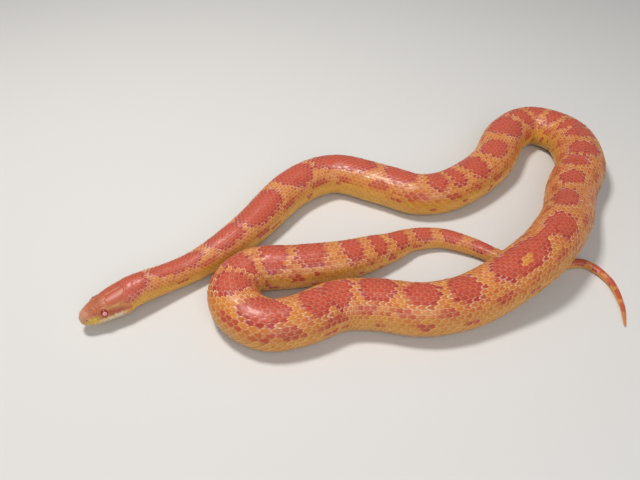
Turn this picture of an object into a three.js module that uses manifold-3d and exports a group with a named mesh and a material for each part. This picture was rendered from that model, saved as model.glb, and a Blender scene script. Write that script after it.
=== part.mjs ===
// A corn snake at rest, life size, lying in loose bends with its body laid once over its tail.
// Millimetres, +Z up. The floor is z = 0, and the origin is the middle of the floor that it covers.

import * as THREE from 'three';
import { mergeVertices } from 'three/addons/utils/BufferGeometryUtils.js';
import Module from 'manifold-3d';

const wasm = await Module();
wasm.setup();

// Lengths along the snake, all from the tip of its snout
const HEAD_LENGTH = 34;
const NECK_END = 92;
const TORSO_LENGTHS = 12;
const TORSO_STEP = 69;
const TORSO_END = NECK_END + TORSO_LENGTHS * TORSO_STEP;
const VENT_END = 962;
const TAIL_LENGTHS = 4;

// The middle line of the body on the floor, from the nape to the tip of the tail
const FLOOR_MIDDLE = [3, 3.9];
const ROUTE = [
  [-146, -79], [-113, -52], [-84, -19], [-56, 25], [-26, 43], [9, 29], [34, 17], [60, 25],
  [92, 56], [113, 96], [137, 113], [160, 93], [159, 54], [142, 20], [124, -22], [95, -60],
  [57, -85], [25, -95], [-5, -91], [-26, -92], [-48, -103], [-67, -106], [-83, -94], [-87, -76],
  [-76, -61], [-50, -57], [-22, -51], [5, -38], [23, -27], [43, -24], [62, -31], [84, -44],
  [110, -48], [132, -46], [143, -60], [144, -80], [140, -98],
];

// How wide the body is: [distance from the snout, width]
const WIDTHS = [
  [34, 20.6], [48, 19.6], [60, 19.2], [80, 20.4], [120, 25.5], [150, 28.4], [190, 31.4],
  [260, 32], [330, 32], [420, 34], [470, 36], [510, 36], [560, 33.6], [700, 33.4], [790, 31.5],
  [860, 30.5], [910, 28], [935, 24.6], [950, 20.5], [965, 17], [990, 14.5], [1020, 11.6],
  [1060, 8.2], [1090, 6], [1115, 4], [1130, 2.4], [1138, 1],
];
const WIDTH_BLEND = 6;

// The body's section is an oval with a flat belly
const OVAL_HEIGHT = 0.88;
const BELLY_LEVEL = 0.82;

// The head and neck are held a little off the floor, and the body climbs over the tail
const HEAD_LIFT = 4;
const NECK_DOWN_FROM = 30;
const NECK_DOWN_TO = 84;
const CROSSING = 609.5;
const CROSSING_RISE = 8;
const CROSSING_FLAT = 15;
const CROSSING_RAMP = 58;

// Fineness of the tubes, and the thin gap where two lengths meet
const BODY_SIDES = 24;
const TAIL_SIDES = 16;
const STEP_LENGTH = 7;
const GAP = 0.3;

// The head, from its snout back: [distance, half width, top, mouth line, chin]
const HEAD_STATIONS = [
  [0.0, 1.0, 9.0, 8.0, 7.3],
  [0.4, 2.5, 10.4, 7.8, 6.5],
  [1.2, 3.8, 11.8, 7.6, 5.9],
  [2.4, 4.9, 12.9, 7.5, 5.4],
  [4, 5.8, 13.8, 7.4, 5.0],
  [6.5, 6.8, 14.8, 7.3, 4.7],
  [10, 7.8, 16.0, 7.4, 4.4],
  [13, 8.5, 16.8, 7.6, 4.2],
  [17, 9.35, 17.5, 7.9, 4.0],
  [21, 10.1, 18.1, 8.1, 4.0],
  [25, 10.5, 18.6, 8.0, 4.0],
  [29, 10.4, 19.2, 7.8, 4.0],
  [34, 10.3, 20.5, 7.8, 4.0],
];
const HEAD_STEPS = 30;
const HEAD_STEP_GROWTH = 1.35;
const HEAD_SQUARENESS = 2.35;
const HEAD_BLEND_FROM = 25;
const WIDEST_RISE = 0.12;

// Angles of the head's outline from its crown to its throat, closest together at the lips
const HEAD_ANGLES = [0, 16, 31, 45, 57, 67, 76, 84, 91, 97, 103, 112, 124, 140, 160, 180];
const LIP_ANGLES = [91, 103];
const LIP_HALF_WIDTH = 2;
const LIP_RIDGE = 0.3;
const LIP_FADE = 4;
const MOUTH_CORNER = 24.5;
const JAW_BACK = 28.5;
const MOUTH_SLOT_WIDTH = 40;

// Eyes and nostrils: distance from the snout and height over the floor
const EYE_RADIUS = 2.3;
const EYE_BACK = 12.4;
const EYE_HEIGHT = 12.1;
const EYE_SPREAD = 6.45;
const EYE_ROOM = 0.3;
const BROW_ANGLE = 57;
const BROW_RIDGE = 0.45;
const BROW_REACH = 4;
const BROW_SPREAD = 25;
const NOSTRIL_RADIUS = 0.6;
const NOSTRIL_BACK = 2.3;
const NOSTRIL_HEIGHT = 10.2;
const NOSTRIL_SPREAD = 4.6;
const EYE_SIDES = [16, 10];
const NOSTRIL_SIDES = [8, 6];

const COLOURS = {
  back: '#d1683a',
  crown: '#cf6847',
  chin: '#e8cfb0',
  eye: '#8e2a33',
  tail: '#c8623c',
};

const skin = (name) => new THREE.MeshStandardMaterial({ color: COLOURS[name], roughness: 0.4, metalness: 0 });

const ease = (x) => THREE.MathUtils.smoothstep(x, 0, 1);

// Straight-line reading of one column of a table whose first column climbs
function readTable(table, at, column) {
  const next = table.findIndex((row) => row[0] >= at);
  if (next === 0) return table[0][column];
  if (next < 0) return table[table.length - 1][column];
  const [low, high] = [table[next - 1], table[next]];
  return THREE.MathUtils.mapLinear(at, low[0], high[0], low[column], high[column]);
}

// The same reading with its corners rounded off
function readSmooth(table, at, column, blend) {
  const reads = [-1, -0.5, 0, 0.5, 1].map((k) => readTable(table, at + k * blend, column));
  return reads.reduce((sum, value) => sum + value, 0) / reads.length;
}

const line = new THREE.CatmullRomCurve3(
  ROUTE.map(([x, y]) => new THREE.Vector3(x - FLOOR_MIDDLE[0], y - FLOOR_MIDDLE[1], 0)),
  false,
  'catmullrom',
  0.5,
);
line.arcLengthDivisions = 2000;
const SNAKE_LENGTH = HEAD_LENGTH + line.getLength();

// How high the belly is over the floor
function liftAt(s) {
  const neck = HEAD_LIFT * (1 - ease((s - NECK_DOWN_FROM) / (NECK_DOWN_TO - NECK_DOWN_FROM)));
  const away = Math.abs(s - CROSSING) - CROSSING_FLAT;
  return neck + CROSSING_RISE * (1 - ease(away / CROSSING_RAMP));
}

// A point of the body's oval: across to the right of the way to the tail, and up from the floor
function ovalPoint(s, angle, share) {
  const half = readSmooth(WIDTHS, s, 1, WIDTH_BLEND) / 2;
  const level = BELLY_LEVEL * half * OVAL_HEIGHT;
  const across = half * Math.sin(angle) * share;
  const up = Math.max(half * OVAL_HEIGHT * Math.cos(angle) * share, -level) + level;
  return [across, up + liftAt(s)];
}

// Where a distance from the snout lies on the floor, and which way the body runs there
function placeAt(s) {
  const u = THREE.MathUtils.clamp((s - HEAD_LENGTH) / line.getLength(), 0, 1);
  const way = line.getTangentAt(u);
  const right = new THREE.Vector3(way.y, -way.x, 0);
  return { at: line.getPointAt(u), way, right };
}

function closeUp(geometry) {
  geometry.deleteAttribute('normal');
  geometry.deleteAttribute('uv');
  return mergeVertices(geometry, 1e-4);
}

// Moves every vertex of a plain upright cylinder of radius 1 and height 1 to its place on the snake
function bendCylinder(sides, steps, place) {
  const cylinder = closeUp(new THREE.CylinderGeometry(1, 1, 1, sides, steps));
  const corners = cylinder.attributes.position;
  for (let i = 0; i < corners.count; i += 1) {
    const angle = Math.atan2(corners.getX(i), corners.getZ(i));
    const share = Math.hypot(corners.getX(i), corners.getZ(i));
    corners.setXYZ(i, ...place(corners.getY(i) + 0.5, angle, share));
  }
  return cylinder;
}

// One length of the body, with its two ends drawn in by half of the gap
function bodyLength(from, to, sides) {
  const steps = Math.round((to - from) / STEP_LENGTH);
  return bendCylinder(sides, steps, (part, angle, share) => {
    const s = THREE.MathUtils.lerp(from, to, part);
    const { at, way, right } = placeAt(s);
    const [across, up] = ovalPoint(s, angle, share);
    const drawnIn = GAP * (0.5 - part);
    const spot = at.clone().addScaledVector(right, across).addScaledVector(way, drawnIn);
    return [spot.x, spot.y, up];
  });
}

// A soft bump that is 1 at its middle and 0 past its reach
function bump(value, middle, reach) {
  return 1 - ease(Math.abs(value - middle) / reach);
}

// A point of the head's skin, in the head's own frame: forward from the nape, left, and up
function headPoint(back, angle, share) {
  const [half, top, mouth, chin] = [1, 2, 3, 4].map((column) => readTable(HEAD_STATIONS, back, column));
  const degrees = THREE.MathUtils.radToDeg(Math.abs(angle));
  const middle = mouth + WIDEST_RISE * (mouth - chin);
  const power = 2 / HEAD_SQUARENESS;
  const sine = Math.sin(Math.abs(angle)) ** power;
  const cosine = Math.abs(Math.cos(angle)) ** power * Math.sign(Math.cos(angle));
  const reachUp = degrees < 90 ? top - middle : middle - chin;

  const alongLips = ease(back / LIP_FADE) * ease((MOUTH_CORNER - back) / LIP_FADE);
  const onLip = LIP_ANGLES.some((lip) => Math.abs(degrees - lip) < LIP_HALF_WIDTH) ? 1 : 0;
  const brow = BROW_RIDGE * bump(degrees, BROW_ANGLE, BROW_SPREAD) * bump(back, EYE_BACK, BROW_REACH);
  const proud = LIP_RIDGE * onLip * alongLips + brow;

  const head = [(half + proud) * sine, reachUp * cosine + middle];
  const body = ovalPoint(HEAD_LENGTH, Math.abs(angle), 1);
  const blend = ease((back - HEAD_BLEND_FROM) / (HEAD_LENGTH - HEAD_BLEND_FROM));
  const across = THREE.MathUtils.lerp(head[0], body[0], blend) * share * Math.sign(angle);
  const edgeUp = THREE.MathUtils.lerp(head[1], body[1], blend);
  return [HEAD_LENGTH - back, across, middle + (edgeUp - middle) * share];
}

// The outline angle for a side of the evenly divided cylinder
function headAngle(angle) {
  const last = HEAD_ANGLES.length - 1;
  const index = Math.round(Math.abs(angle) / Math.PI * last);
  return THREE.MathUtils.degToRad(HEAD_ANGLES[index]) * Math.sign(angle);
}

// The whole head, snout to nape, its stations closer together at the snout
function wholeHead() {
  const sides = 2 * (HEAD_ANGLES.length - 1);
  return bendCylinder(sides, HEAD_STEPS, (part, angle, share) => {
    const back = (HEAD_LENGTH - GAP / 2) * part ** HEAD_STEP_GROWTH;
    return headPoint(back, headAngle(angle), share);
  });
}

// Turns a plain geometry into a solid that can be joined or cut, and back
function toSolid(geometry) {
  const vertProperties = new Float32Array(geometry.attributes.position.array);
  const triVerts = new Uint32Array(geometry.index.array);
  return new wasm.Manifold(new wasm.Mesh({ numProp: 3, vertProperties, triVerts }));
}

function toGeometry(solid) {
  const mesh = solid.getMesh();
  const geometry = new THREE.BufferGeometry();
  geometry.setAttribute('position', new THREE.BufferAttribute(new Float32Array(mesh.vertProperties), 3));
  geometry.setIndex(new THREE.BufferAttribute(new Uint32Array(mesh.triVerts), 1));
  return geometry;
}

function ball(radius, sides, x, y, z) {
  const geometry = closeUp(new THREE.SphereGeometry(radius, ...sides));
  return geometry.translate(x, y, z);
}

// The thin slot of the mouth seen from the side: back along the lips, then down behind the jaw
function mouthSlot() {
  const mouthAt = (back) => readTable(HEAD_STATIONS, back, 3);
  const stops = HEAD_STATIONS.map((row) => row[0]).filter((back) => back < MOUTH_CORNER);
  const lips = [-2, ...stops, MOUTH_CORNER].map((back) => [HEAD_LENGTH - back, mouthAt(back)]);
  const upper = [...lips, [HEAD_LENGTH - JAW_BACK, 0]];
  const lower = upper.map(([x, z], i) => (i < lips.length - 1 ? [x, z - GAP] : [x + GAP, z - GAP]));
  const outline = new THREE.Shape([...upper, ...lower.reverse()].map(([x, z]) => new THREE.Vector2(x, z)));
  const slot = new THREE.ExtrudeGeometry(outline, { depth: MOUTH_SLOT_WIDTH, bevelEnabled: false });
  slot.rotateX(Math.PI / 2);
  slot.translate(0, MOUTH_SLOT_WIDTH / 2, 0);
  return closeUp(slot);
}

function named(name, geometry, colour) {
  const mesh = new THREE.Mesh(geometry, skin(colour));
  mesh.name = name;
  return mesh;
}

function addHead(snake) {
  const nape = placeAt(HEAD_LENGTH);
  const head = new THREE.Group();
  head.position.copy(nape.at);
  head.rotation.z = Math.atan2(-nape.way.y, -nape.way.x);

  let solid = toSolid(wholeHead());
  solid = solid.subtract(toSolid(mouthSlot()));
  for (const side of [-1, 1]) {
    const eyeX = HEAD_LENGTH - EYE_BACK;
    const nostrilX = HEAD_LENGTH - NOSTRIL_BACK;
    const eyeY = side * EYE_SPREAD;
    const nostrilY = side * NOSTRIL_SPREAD;
    const socket = ball(EYE_RADIUS + EYE_ROOM, EYE_SIDES, eyeX, eyeY, EYE_HEIGHT);
    const nostril = ball(NOSTRIL_RADIUS, NOSTRIL_SIDES, nostrilX, nostrilY, NOSTRIL_HEIGHT);
    solid = solid.subtract(toSolid(socket)).subtract(toSolid(nostril));
    const eye = ball(EYE_RADIUS, EYE_SIDES, eyeX, eyeY, EYE_HEIGHT);
    head.add(named(side > 0 ? 'eye_left' : 'eye_right', eye, 'eye'));
  }
  const pieces = solid.decompose().sort((a, b) => b.volume() - a.volume());
  head.add(named('head', toGeometry(pieces[0]), 'crown'));
  head.add(named('lower_jaw', toGeometry(pieces[1]), 'chin'));
  snake.add(head);
}

function addBody(snake) {
  snake.add(named('neck', bodyLength(HEAD_LENGTH, NECK_END, BODY_SIDES), 'back'));
  for (let i = 0; i < TORSO_LENGTHS; i += 1) {
    const from = NECK_END + i * TORSO_STEP;
    const name = `torso_${String(i + 1).padStart(2, '0')}`;
    snake.add(named(name, bodyLength(from, from + TORSO_STEP, BODY_SIDES), 'back'));
  }
  snake.add(named('vent', bodyLength(TORSO_END, VENT_END, BODY_SIDES), 'back'));
}

function addTail(snake) {
  const step = (SNAKE_LENGTH - VENT_END) / TAIL_LENGTHS;
  for (let i = 0; i < TAIL_LENGTHS; i += 1) {
    const from = VENT_END + i * step;
    const name = i < TAIL_LENGTHS - 1 ? `tail_0${i + 1}` : 'tail_tip';
    snake.add(named(name, bodyLength(from, from + step, TAIL_SIDES), 'tail'));
  }
}

const snake = new THREE.Group();
addHead(snake);
addBody(snake);
addTail(snake);

export default snake;
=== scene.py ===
# %% [markdown]
# # A corn snake at rest
#
# This lesson dresses a plain solid snake as a life-size museum model. The solids give the pose and
# the size. Blender adds one skin over them, a coat of overlapping scales that are real mesh, the
# wide scutes of the belly, the plates of the head, and the eyes.

# %% Load the frame
import math

import bmesh
import bpy
import numpy as np
from mathutils import Matrix, Vector
from mathutils.kdtree import KDTree


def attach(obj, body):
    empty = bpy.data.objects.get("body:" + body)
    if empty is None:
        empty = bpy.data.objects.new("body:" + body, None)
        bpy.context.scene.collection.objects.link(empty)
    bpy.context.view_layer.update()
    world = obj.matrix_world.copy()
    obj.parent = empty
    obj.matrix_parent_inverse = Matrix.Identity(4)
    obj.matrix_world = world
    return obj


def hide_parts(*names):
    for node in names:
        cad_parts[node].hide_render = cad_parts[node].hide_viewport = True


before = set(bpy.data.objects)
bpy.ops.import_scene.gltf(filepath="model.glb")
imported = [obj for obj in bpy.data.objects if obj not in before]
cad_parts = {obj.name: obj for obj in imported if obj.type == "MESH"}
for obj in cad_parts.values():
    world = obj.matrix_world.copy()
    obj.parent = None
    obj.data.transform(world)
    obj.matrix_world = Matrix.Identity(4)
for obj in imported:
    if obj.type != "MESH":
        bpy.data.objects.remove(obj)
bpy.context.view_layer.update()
MM = 0.001

# %% [markdown]
# ## The camera
#
# A camera can be placed by trial and error, or worked out from straight lines in the picture. Here
# it was worked out: 35 mm lens, 40 degrees down, no roll, 270 mm over the floor. It never moves
# while the snake is modelled.

# %% Camera
IMAGE_WIDTH = 640
SENSOR_WIDTH = 36
NEAREST = 0.01
FOCAL_PIXELS = 622
CAMERA_PITCH = math.radians(40)
CAMERA_PLACE = Vector((-39.5, -345.0, 270.0)) * MM


def new_object(name, data):
    obj = bpy.data.objects.new(name, data)
    bpy.context.scene.collection.objects.link(obj)
    return obj


def add_camera():
    data = bpy.data.cameras.new("camera")
    data.sensor_width = SENSOR_WIDTH
    data.lens = SENSOR_WIDTH * FOCAL_PIXELS / IMAGE_WIDTH
    data.clip_start = NEAREST
    camera = new_object("camera", data)
    camera.location = CAMERA_PLACE
    camera.rotation_euler = (math.pi / 2 - CAMERA_PITCH, 0, 0)
    bpy.context.scene.camera = camera
    return camera


camera = add_camera()
print("lens", round(camera.data.lens, 1), "mm")

# %% [markdown]
# ## The line of the body
#
# A resting snake could be a Bezier curve with a bevel, but the scales need to know where they lie
# along the animal and round it. So the line is a function: give it a distance from the snout and it
# tells the place and the way the body runs. It is the line of the solids, in millimetres.

# %% The line from nape to tail tip
HEAD_LENGTH = 34.0
STEPS_BETWEEN = 60
FLOOR_MIDDLE = np.array([3.0, 3.9])
ROUTE = [
    (-146, -79), (-113, -52), (-84, -19), (-56, 25), (-26, 43), (9, 29), (34, 17), (60, 25),
    (92, 56), (113, 96), (137, 113), (160, 93), (159, 54), (142, 20), (124, -22), (95, -60),
    (57, -85), (25, -95), (-5, -91), (-26, -92), (-48, -103), (-67, -106), (-83, -94), (-87, -76),
    (-76, -61), (-50, -57), (-22, -51), (5, -38), (23, -27), (43, -24), (62, -31), (84, -44),
    (110, -48), (132, -46), (143, -60), (144, -80), (140, -98),
]


def spline_through(points, steps):
    """A smooth line through the points, each stretch steered by its neighbours (Catmull-Rom)."""
    points = np.array(points, float)
    lead, trail = 2 * points[0] - points[1], 2 * points[-1] - points[-2]
    p = np.vstack([lead, points, trail])
    t = np.arange(steps)[:, None] / steps
    stretches = []
    for a, b, c, d in zip(p, p[1:], p[2:], p[3:]):
        cubic = (3 * b - a - 3 * c + d) * t**3
        square = (2 * a - 5 * b + 4 * c - d) * t**2
        stretches.append(0.5 * (2 * b + (c - a) * t + square + cubic))
    return np.vstack(stretches + [points[-1:]])


line = spline_through(ROUTE, STEPS_BETWEEN) - FLOOR_MIDDLE
line_s = HEAD_LENGTH + np.append(0, np.cumsum(np.linalg.norm(np.diff(line, axis=0), axis=1)))
line_way = np.gradient(line, line_s, axis=0)
line_way /= np.linalg.norm(line_way, axis=1, keepdims=True)
LENGTH = line_s[-1]
print("length", round(LENGTH, 1), "mm")


def place(s):
    """Where a distance from the snout lies on the floor, and which way the body runs there."""
    tables = (line, line_way)
    spot, way = (np.stack([np.interp(s, line_s, table[:, i]) for i in (0, 1)], -1) for table in tables)
    way /= np.linalg.norm(way, axis=-1, keepdims=True)
    ahead_of_nape = np.minimum(s - HEAD_LENGTH, 0)[..., None]
    return spot + way * ahead_of_nape, way


# %% [markdown]
# ## The section of the body
#
# A relaxed corn snake is loaf shaped, so its section is an oval cut off below, and its width follows
# a short list from neck to tail. The head has a squarer section of its own, with the mouth a little
# below its widest place, and it melts into the neck.

# %% Widths, lift and sections
WIDTHS = [
    (34, 20.6), (48, 19.6), (60, 19.2), (80, 20.4), (120, 25.5), (150, 28.4), (190, 31.4),
    (260, 32), (330, 32), (420, 34), (470, 36), (510, 36), (560, 33.6), (700, 33.4), (790, 31.5),
    (860, 30.5), (910, 28), (935, 24.6), (950, 20.5), (965, 17), (990, 14.5), (1020, 11.6),
    (1060, 8.2), (1090, 6), (1115, 4), (1130, 2.4), (1138, 1),
]
WIDTH_BLEND = 6
OVAL_HEIGHT = 0.88
BELLY_LEVEL = 0.82
BELLY_SOFTNESS = 0.1
HEAD_LIFT = 4
NECK_DOWN = (30, 54)
CROSSING = 609.5
CROSSING_RISE = 8
CROSSING_RAMP = (15, 58)
COAT_DEPTH = 0.45
COAT_SHARE = 0.16
BELLY_DEPTH = 0.35
TIP_ROUNDING = 1.5
TIP_HEIGHT = 0.4


def ease(x):
    x = np.clip(x, 0, 1)
    return x * x * (3 - 2 * x)


def after(value, start, fade):
    """0 before a start and 1 past it, with a soft step as long as the fade between."""
    return ease((value - start) / fade)


def read(table, value):
    """Reads the second column of a table by its first, between the rows too."""
    return np.interp(value, *np.transpose(table))


def width_at(s):
    """The body's width in mm, softened over a short stretch."""
    steps = np.array([-1, -0.5, 0, 0.5, 1]) * WIDTH_BLEND
    return sum(read(WIDTHS, s + step) for step in steps) / len(steps)


def lift_at(s):
    """How high the belly is over the floor: the neck is held up, and the body climbs over the tail."""
    neck = HEAD_LIFT * (1 - after(s, *NECK_DOWN))
    return neck + CROSSING_RISE * (1 - after(np.abs(s - CROSSING), *CROSSING_RAMP))


def body_section(s, angle):
    """Across and up, in mm, from an angle round the body that starts at the crest."""
    half = width_at(s) / 2
    oval = half * OVAL_HEIGHT
    over = np.cos(angle) + BELLY_LEVEL
    up = 0.5 * oval * (over + np.sqrt(over**2 + BELLY_SOFTNESS**2))
    tip = ease((LENGTH - s) / TIP_ROUNDING) ** 0.5
    return half * np.sin(angle) * tip, up * (TIP_HEIGHT + (1 - TIP_HEIGHT) * tip) + lift_at(s)


HEAD_STATIONS = np.array([
    # distance, half width, top, mouth line, chin
    (0.0, 0.0, 8.2, 8.2, 8.2),
    (0.1, 1.3, 9.4, 8.0, 7.2),
    (0.4, 2.5, 10.4, 7.8, 6.5),
    (1.2, 3.8, 11.8, 7.6, 5.9),
    (2.4, 4.9, 12.9, 7.5, 5.4),
    (4, 5.8, 13.8, 7.4, 5.0),
    (6.5, 6.8, 14.8, 7.3, 4.7),
    (10, 7.8, 16.0, 7.4, 4.4),
    (13, 8.5, 16.8, 7.6, 4.2),
    (17, 9.35, 17.5, 7.9, 4.0),
    (21, 10.1, 18.1, 8.1, 4.0),
    (25, 10.5, 18.6, 8.0, 4.0),
    (29, 10.4, 19.2, 7.8, 4.0),
    (34, 10.3, 20.5, 7.8, 4.0),
])
HEAD_SQUARENESS = 2.35
HEAD_BLEND = (25, 9)
WIDEST_RISE = 0.12
BROW_AROUND = (math.radians(57), math.radians(25))
BROW_ALONG = (12.2, 4.5)
BROW_RIDGE = 0.42
SHORT_STEP = 0.2
SHORT_TURN = 0.02


def smooth_read(column, back):
    """Reads one column of the head's stations with a curve that keeps its slope at each one."""
    xs, ys = HEAD_STATIONS[:, 0], HEAD_STATIONS[:, column]
    slopes = np.gradient(ys, xs)
    i = np.clip(np.searchsorted(xs, back) - 1, 0, len(xs) - 2)
    gap = xs[i + 1] - xs[i]
    t = np.clip((back - xs[i]) / gap, 0, 1)
    start = (1 + 2 * t) * (1 - t) ** 2 * ys[i] + t * (1 - t) ** 2 * gap * slopes[i]
    return start + t**2 * (3 - 2 * t) * ys[i + 1] + t**2 * (t - 1) * gap * slopes[i + 1]


def bump(value, middle, reach):
    """A soft hill that is 1 at its middle and 0 past its reach."""
    return 1 - ease(np.abs(value - middle) / reach)


def head_section(s, angle):
    half, top, mouth, chin = (smooth_read(column, s) for column in (1, 2, 3, 4))
    middle = mouth + WIDEST_RISE * (mouth - chin)
    power = 2 / HEAD_SQUARENESS
    sine, cosine = np.sin(angle), np.cos(angle)
    brow = BROW_RIDGE * bump(np.abs(angle), *BROW_AROUND) * bump(s, *BROW_ALONG)
    across = (half + brow) * np.abs(sine) ** power * np.sign(sine)
    reach = np.where(cosine > 0, top - middle, middle - chin)
    return across, middle + reach * np.abs(cosine) ** power * np.sign(cosine)


# Where the coat begins behind the plates of the head: degrees from the crest, mm from the snout
COAT_START = [
    (0, 27.0), (8, 27.6), (24, 26.6), (36, 25.2), (46, 24.4), (60, 25.6), (72, 26.4), (97, 26.2),
    (112, 25.6), (125, 21.5), (146, 18.0), (180, 17.8),
]
COAT_EASE = 7


def coat_depth(s):
    return np.minimum(COAT_DEPTH, COAT_SHARE * width_at(s) / 2)


def coat_start(angle):
    return read(COAT_START, np.degrees(np.abs(angle)))


def sunk(s, angle):
    """How far the skin lies inside the solids: 0 on the head's plates, then the coat's depth."""
    return coat_depth(s) * after(s, coat_start(angle), COAT_EASE)


def skin_point(s, angle):
    """A point of the snake's skin in mm, from the distance along it and the angle round it."""
    s, angle = np.broadcast_arrays(np.asarray(s, float), np.asarray(angle, float))
    spot, way = place(s)
    blend = after(s, *HEAD_BLEND)
    head, body = head_section(s, angle), body_section(s, angle)
    across = head[0] + (body[0] - head[0]) * blend
    up = head[1] + (body[1] - head[1]) * blend
    half = width_at(s) / 2
    depth = sunk(s, angle)
    belly = depth * BELLY_DEPTH / COAT_DEPTH
    height = half * OVAL_HEIGHT * (1 + BELLY_LEVEL)
    share = (up - lift_at(s)) / height
    across = across * (1 - depth / half)
    up = up + belly - share * (depth + belly)
    return np.stack([spot[..., 0] + way[..., 1] * across, spot[..., 1] - way[..., 0] * across, up], -1)


def skin_normal(s, angle):
    """Which way the skin faces there, from two short steps along and round it."""
    along = skin_point(s + SHORT_STEP, angle) - skin_point(s - SHORT_STEP, angle)
    around = skin_point(s, angle + SHORT_TURN) - skin_point(s, angle - SHORT_TURN)
    normal = np.cross(around, along)
    return normal / np.maximum(np.linalg.norm(normal, axis=-1, keepdims=True), 1e-9)


print("widest", max(width for _, width in WIDTHS), "mm")

# %% [markdown]
# ## Distances round the body
#
# Scales are laid by the length of skin between them, which the angle round an oval doesn't measure.
# This table turns a share of the half girth, 0 at the crest and 1 under the belly, into an angle.

# %% Girth table
TABLE_STEP = 2.0
TABLE_ANGLES = 161
TABLE_SHARES = 81
LAST_CELL = 1.001
TABLE_S = np.arange(0, LENGTH + TABLE_STEP, TABLE_STEP)
SHARES = np.linspace(0, 1, TABLE_SHARES)


def girth_table():
    angles = np.linspace(0, math.pi, TABLE_ANGLES)
    points = skin_point(TABLE_S[:, None], angles[None])
    steps = np.linalg.norm(np.diff(points, axis=1), axis=2)
    run = np.hstack([np.zeros((len(TABLE_S), 1)), np.cumsum(steps, axis=1)])
    at_shares = [np.interp(SHARES * row[-1], row, angles) for row in run]
    return run[:, -1], np.array(at_shares)


HALF_GIRTH, ANGLE_TABLE = girth_table()


def half_girth(s):
    return np.interp(s, TABLE_S, HALF_GIRTH)


def angle_at(s, share):
    """The angle at a share of the half girth. A share below 0 is on the far side."""
    row = np.clip(s / TABLE_STEP, 0, len(TABLE_S) - LAST_CELL)
    column = np.clip(np.abs(share), 0, 1) * (len(SHARES) - LAST_CELL)
    i, j = row.astype(int), column.astype(int)
    a, b = row - i, column - j
    top = ANGLE_TABLE[i, j] * (1 - b) + ANGLE_TABLE[i, j + 1] * b
    low = ANGLE_TABLE[i + 1, j] * (1 - b) + ANGLE_TABLE[i + 1, j + 1] * b
    return (top * (1 - a) + low * a) * np.where(share < 0, -1, 1)


print("greatest half girth", round(float(HALF_GIRTH.max()), 1), "mm")


# %% [markdown]
# ## Markings
#
# A corn snake wears a row of saddles down its back, smaller blotches on each flank under the gaps,
# and small flecks below them. A picture wrapped round it would blur over the scales. Instead the
# markings are a rule that every point of the skin and every scale asks, and a scale takes one answer
# for the whole of itself, as real ones do.

# %% Marking rule
# Middle and length of each saddle, in mm from the snout, and its reach in degrees from the crest
SADDLES = np.array([
    (28.5, 28, 60), (62, 36, 36), (98.5, 26, 48), (131.5, 38, 50), (173, 28, 52), (214.5, 49, 38),
    (259, 24, 33), (284.5, 12, 48), (299, 10, 45), (319, 18, 54), (348.5, 24, 36), (383.5, 27, 52),
    (407.5, 12, 58), (424, 11, 38), (440, 12, 44), (457, 12, 42), (471, 14, 40), (494.5, 17, 38),
    (513.5, 15, 30), (536.5, 17, 29), (568, 28, 30), (603, 22, 36), (645, 40, 38), (684.5, 19, 39),
    (709, 18, 37), (734, 20, 39), (757, 17, 43),
    (772, 15, 43), (800, 26, 37), (830.5, 18, 44), (848.5, 12, 56), (870.5, 16, 56), (893, 18, 55),
    (918.5, 13, 57), (937, 11, 60), (954, 12, 60), (973, 13, 62), (993, 14, 64), (1014, 12, 66),
    (1031, 9, 66), (1048, 9, 68), (1063, 10, 70), (1077, 10, 72), (1090, 9, 74), (1102, 8.5, 74),
    (1113, 8, 74), (1123, 7.5, 74),
])
# Degrees by which the back's middle is off the crest, where the body lies rolled a little
ROLL = [(480, 0), (505, 13), (575, 13), (600, -9), (632, 0)]
# Middle, length, middle angle and half height of a bridge of red and a window of ground colour
BRIDGE = (620, 22, 8, 15)
WINDOW = (644, 9, -11, 10)
# Blotches of the flank that the photo shows, with the same four measures
BLOTCHES = np.array([
    (120, 16, 78, 8), (187, 20, 66, 7), (219, 15, 64, 9), (248.5, 15, 54, 16), (273.5, 10, 57, 14),
    (697, 11, -54, 12), (718.5, 9, -52, 9), (740.5, 13, -54, 10), (765, 22, -69, 10),
    (789.5, 16, -63, 14), (861.5, 10, 86, 13), (882.5, 8, 78, 12), (895.5, 6, 75, 9),
])
BLOTCH_NEAR = 12
# How yellow the flanks are along the body: most on the neck and the fore body
YELLOW = [(0, 1), (440, 1), (520, 0.2), (840, 0.2), (880, 0.7), (1138, 0.4)]
# Ranges for the blotches and flecks that are drawn at random on the rest of the flanks, with a
# blotch's length in parts of its saddle's and a fleck's two sizes in parts of its blotch's
BLOTCH_SHARE = (0.5, 0.85)
BLOTCH_LONGEST = 19
BLOTCH_TALL = (8, 12)
BLOTCH_BELOW = (14, 22)
FLECK_BELOW = (40, 50)
FLECK_SHARE = (0.6, 0.7)
DRIFT = (-3, 3)
LEAN = (-5, 5)
FLANK_FROM = 40
FLANK_TO = 965
PATCH_ROUNDING = 2.4
PATCH_WOBBLE = 0.05
WAVES = ((0.61, 5.3, 2.1), (0.97, -7.7, 4.7))
FAR = 9.0
SADDLE_DEPTH = 1.5
EDGE_MIDDLE = 1.06
EDGE_REACH = 0.24
BLOTCH_EDGE = 1.06
BLOTCH_FADE = 0.16
MARK_SEED = 7
# Numbers that shift the uneven outline of each kind of patch
BRIDGE_SEED = 3
WINDOW_SEED = 5
SEEN_SEED = 30
BLOTCH_SEED = 50
FLECK_SEED = 90


def patch_value(s, angle, patch, seed):
    """Below 1 inside a rounded patch, above 1 outside it. The seed only shifts its uneven outline."""
    middle, length, centre, reach = patch
    along = np.abs(s - middle) / (length / 2)
    around = np.abs(angle - math.radians(centre)) / math.radians(reach)
    away = (along**PATCH_ROUNDING + around**PATCH_ROUNDING) ** (1 / PATCH_ROUNDING)
    return away + PATCH_WOBBLE * sum(np.sin(s * a + angle * b + seed * c) for a, b, c in WAVES)


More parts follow.
